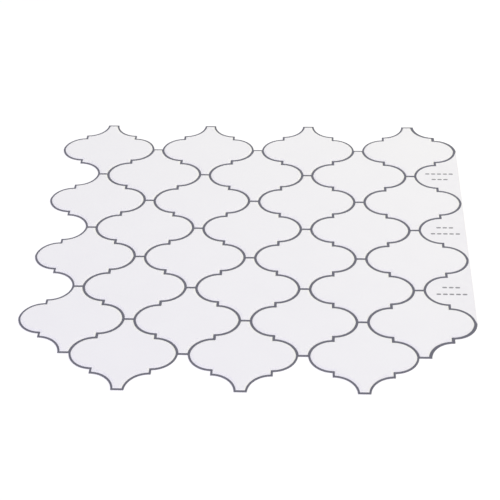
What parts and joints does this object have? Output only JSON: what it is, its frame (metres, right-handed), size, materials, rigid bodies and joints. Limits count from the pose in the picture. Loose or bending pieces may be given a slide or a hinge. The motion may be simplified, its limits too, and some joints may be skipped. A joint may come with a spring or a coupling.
{
  "type": "self-adhesive wall tile",
  "caption": "Thin peel-and-stick wall tile sheet with raised lantern-shaped resin tiles on a printed film, scalloped edges and overlap tabs at one side.",
  "frame": {"origin": "middle of the sheet, on its adhesive back", "axes": "+Z out of the wall through the tiles, +Y up the wall, +X across to the overlap tabs"},
  "size_m": [0.3056, 0.305, 0.0012],
  "materials": {
    "film": "thin printed vinyl, slate grey between the tiles and white on the tabs, adhesive back",
    "resin": "cast white resin, glossy, level on top and rounded at its edge"
  },
  "bodies": {
    "root": {"backing_film": "film", "tile_row_1": "resin", "tile_row_2": "resin", "tile_row_3": "resin", "tile_row_4": "resin", "tile_row_5": "resin", "tile_row_6": "resin", "tile_row_7": "resin", "tile_row_8": "resin"}
  },
  "joints": []
}
